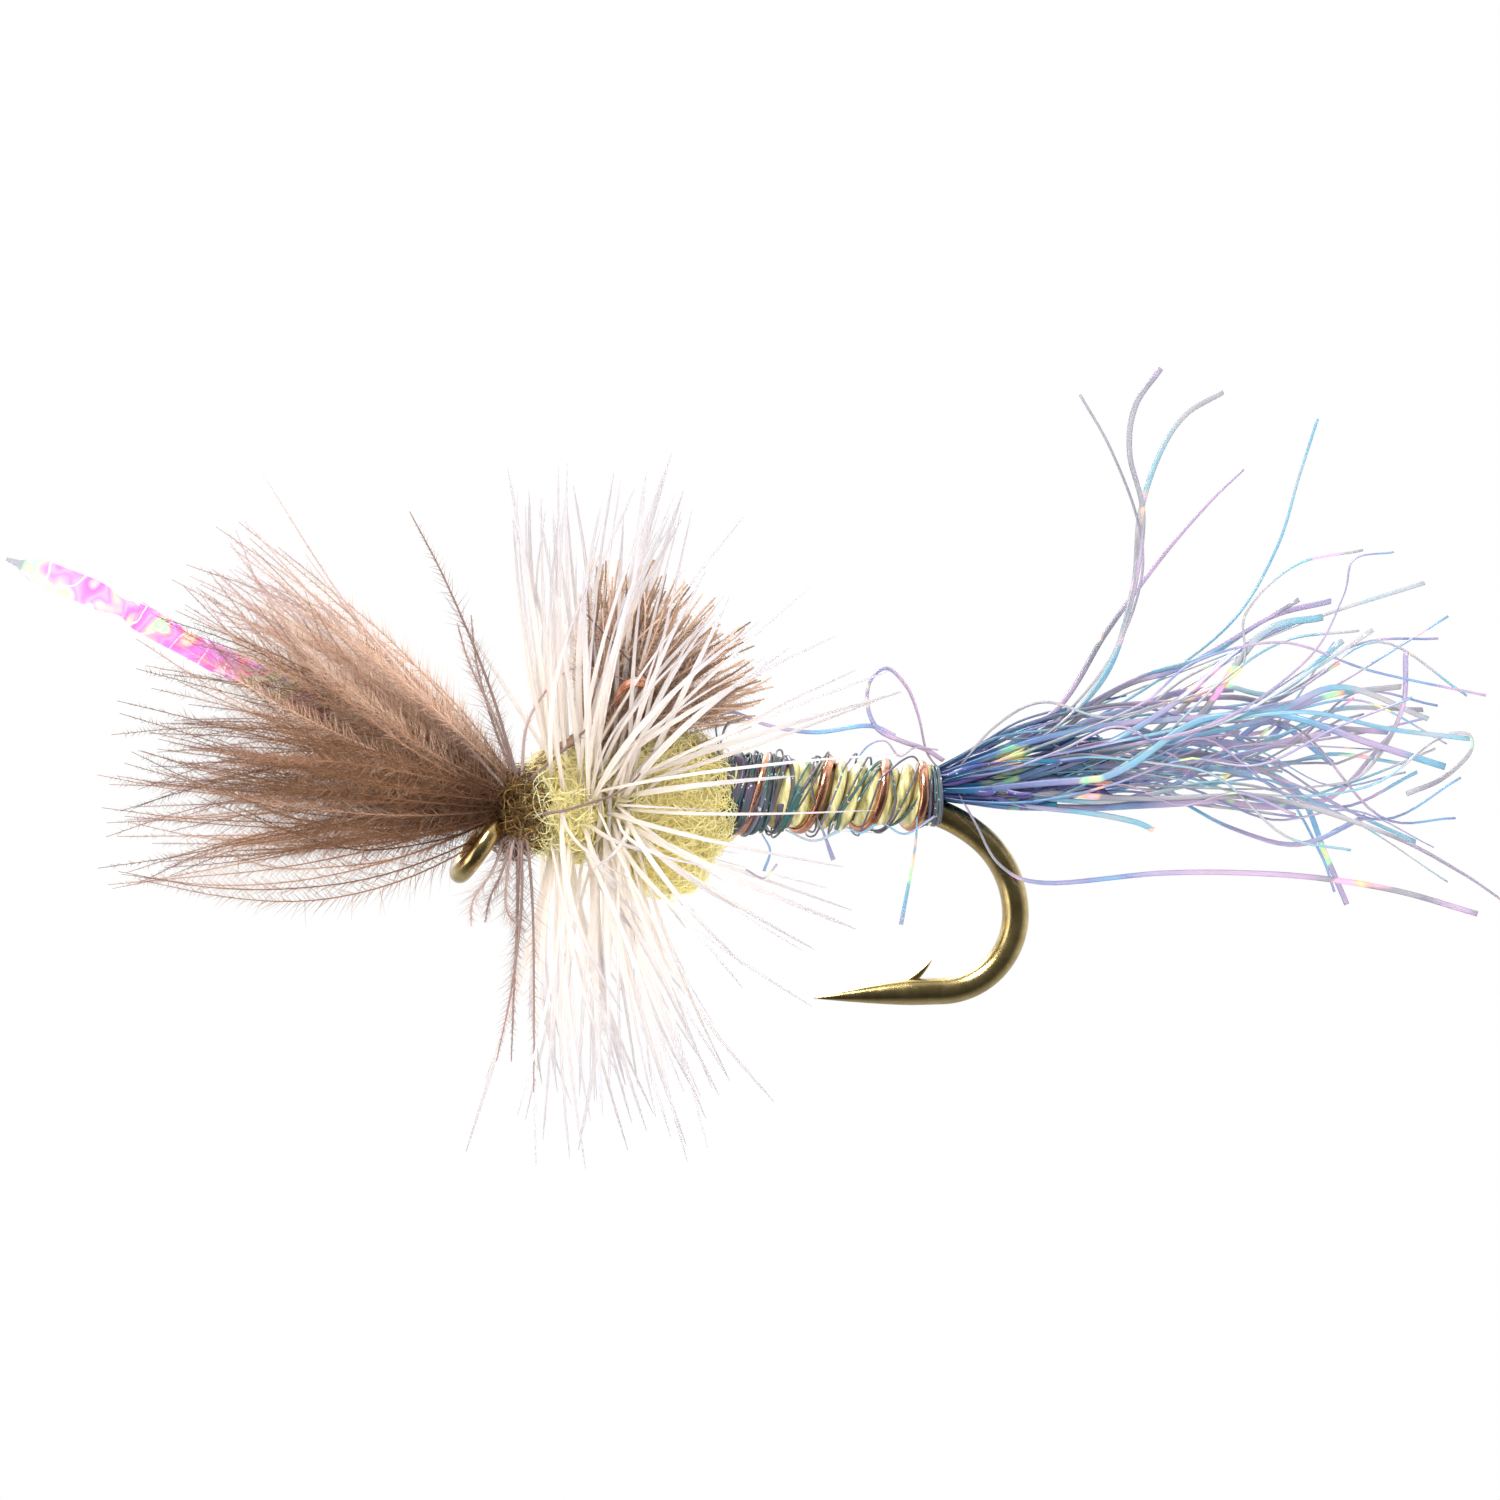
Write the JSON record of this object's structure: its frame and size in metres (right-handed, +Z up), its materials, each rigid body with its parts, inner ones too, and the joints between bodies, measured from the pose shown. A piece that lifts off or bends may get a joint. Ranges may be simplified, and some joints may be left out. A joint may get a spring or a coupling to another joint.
{
  "type": "dry fly",
  "caption": "Fishing dry fly: bronzed down-eye hook dressed with a trailing flash shuck, ribbed quill body, dubbed thorax, pale hackle and a forward fan of brown CDC.",
  "frame": {"origin": "centre of the hook's eye", "axes": "+X along the shank from the eye to the bend and tail, +Z up, away from the point of the hook, +Y to the right as seen from the tail"},
  "size_m": [0.0222, 0.0104, 0.0114],
  "materials": {
    "hook_bronze": "glossy bronzed steel",
    "copper": "bright copper wire",
    "shuck_flash": "iridescent translucent film",
    "pearl_strip": "pearl film, pink with opal patches",
    "quill": "glossy stripped quill",
    "dubbing": "loose spun fur",
    "hackle": "glossy ivory feather barbs",
    "cdc": "matt brown down",
    "thread": "waxed tying thread",
    "head_fur": "matted dark olive fur"
  },
  "bodies": {
    "root": {"hook": "hook_bronze", "thread_underbody": "thread", "tail_lashing": "thread", "shuck_bundle": "shuck_flash", "shuck_fibres": "shuck_flash", "shuck_stray_fibres": "shuck_flash", "abdomen_quill": "quill", "copper_rib": "copper", "flash_rib": "shuck_flash", "flash_loop": "shuck_flash", "flash_stubs": "shuck_flash", "thorax_dubbing_rear": "dubbing", "thorax_dubbing_front": "dubbing", "hackle_stem": "hackle", "hackle_barbs": "hackle", "wing_plume_upper": "cdc", "wing_plume_middle": "cdc", "wing_plume_lower": "cdc", "wing_quills": "cdc", "wing_strands": "cdc", "wing_butts": "cdc", "wing_lashing": "thread", "flash_strip": "pearl_strip", "leg_barbs": "cdc", "head_thread": "thread", "head_fuzz": "head_fur"}
  },
  "joints": []
}
